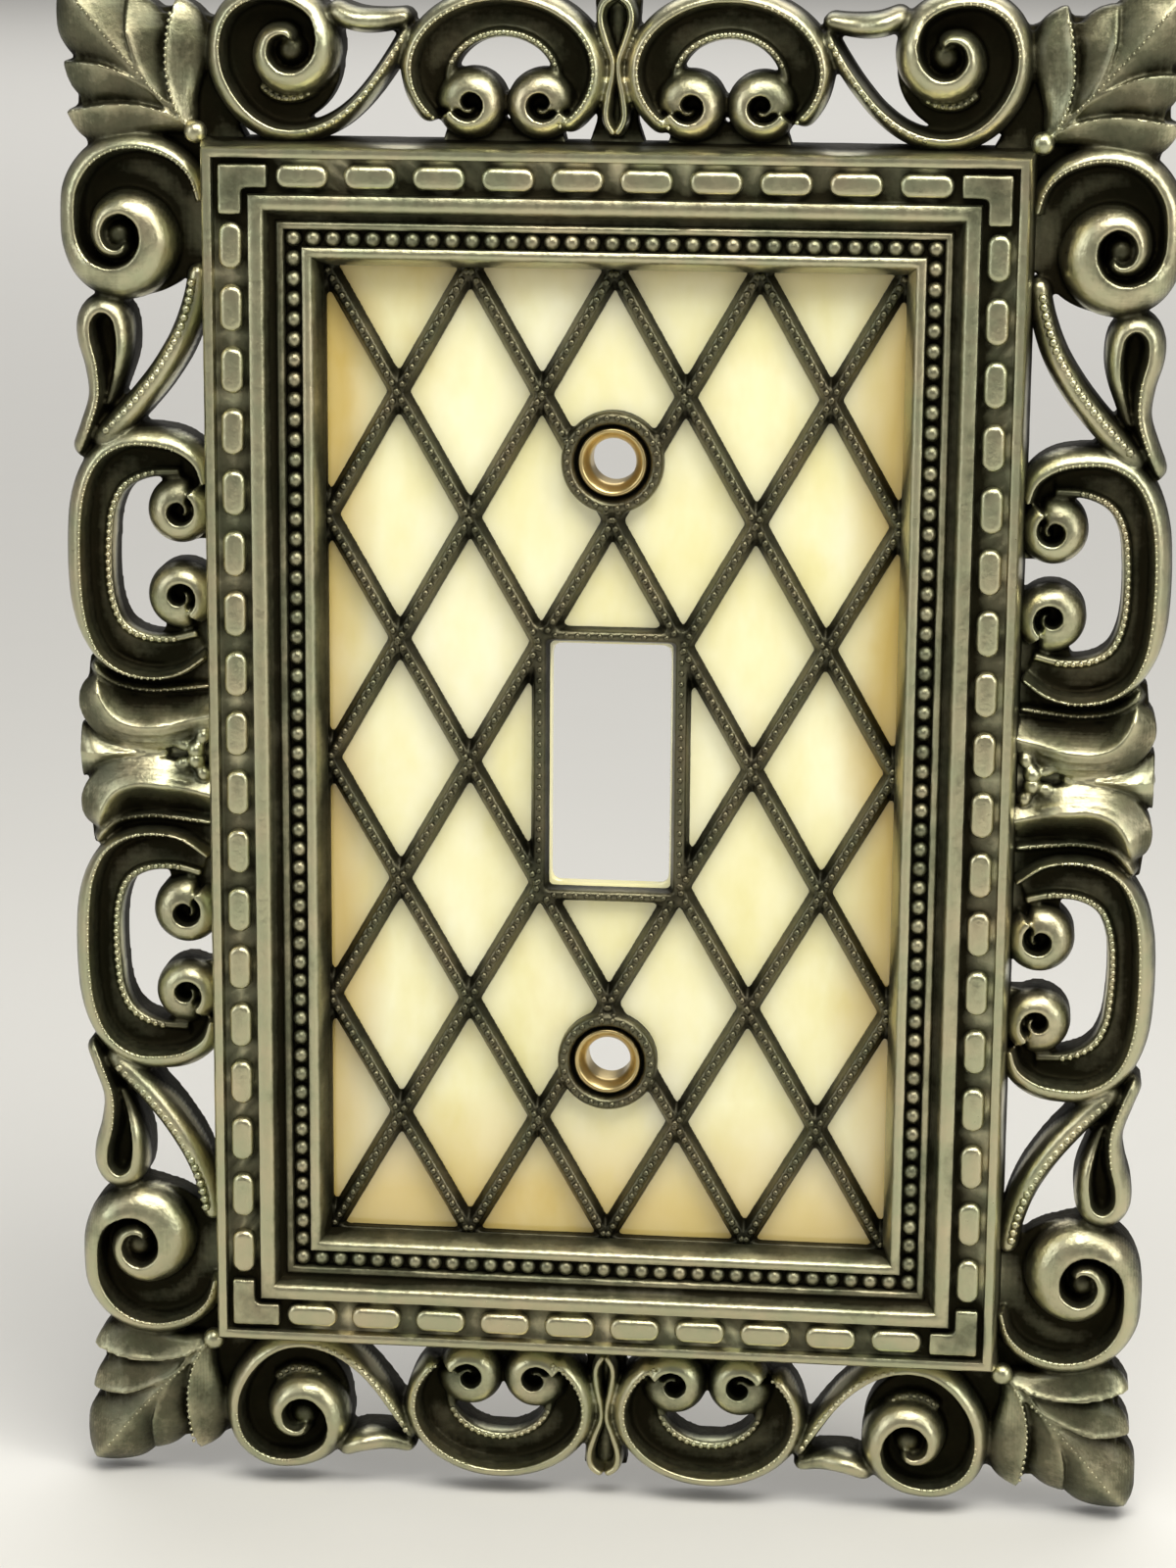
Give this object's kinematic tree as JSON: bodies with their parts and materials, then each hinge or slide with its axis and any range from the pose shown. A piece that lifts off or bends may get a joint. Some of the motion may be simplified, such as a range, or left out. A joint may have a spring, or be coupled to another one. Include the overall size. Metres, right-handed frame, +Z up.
{
  "type": "toggle switch wall plate cover",
  "caption": "Ornamental single-gang toggle switch cover: pierced cast scroll frame, diamond grille over a pearl panel, clamped by a steel backing plate.",
  "frame": {"origin": "on the wall plane, midway between the two mounting screw holes, which is the middle of the toggle slot", "axes": "+Z up the wall along the longest side, +X to the right seen from the room, -Y out of the wall towards the room"},
  "size_m": [0.1078, 0.008, 0.1522],
  "materials": {
    "antique_brass": "cast, darkened in the recesses, rubbed bright on the high points, satin lacquer",
    "dark_antique_brass": "cast, darkened, bead tops rubbed bright",
    "pearl_acrylic": "marbled pearl, polished",
    "plated_steel": "zinc plated, dull",
    "bright_brass": "turned and polished",
    "screw_steel": "zinc plated"
  },
  "bodies": {
    "root": {"cast_scroll_frame": "antique_brass", "lattice_grille": "dark_antique_brass", "pearl_panel": "pearl_acrylic", "backing_plate": "plated_steel", "upper_screw_eyelet": "bright_brass", "lower_screw_eyelet": "bright_brass", "upper_left_plate_screw": "screw_steel", "upper_right_plate_screw": "screw_steel", "lower_left_plate_screw": "screw_steel", "lower_right_plate_screw": "screw_steel"}
  },
  "joints": []
}
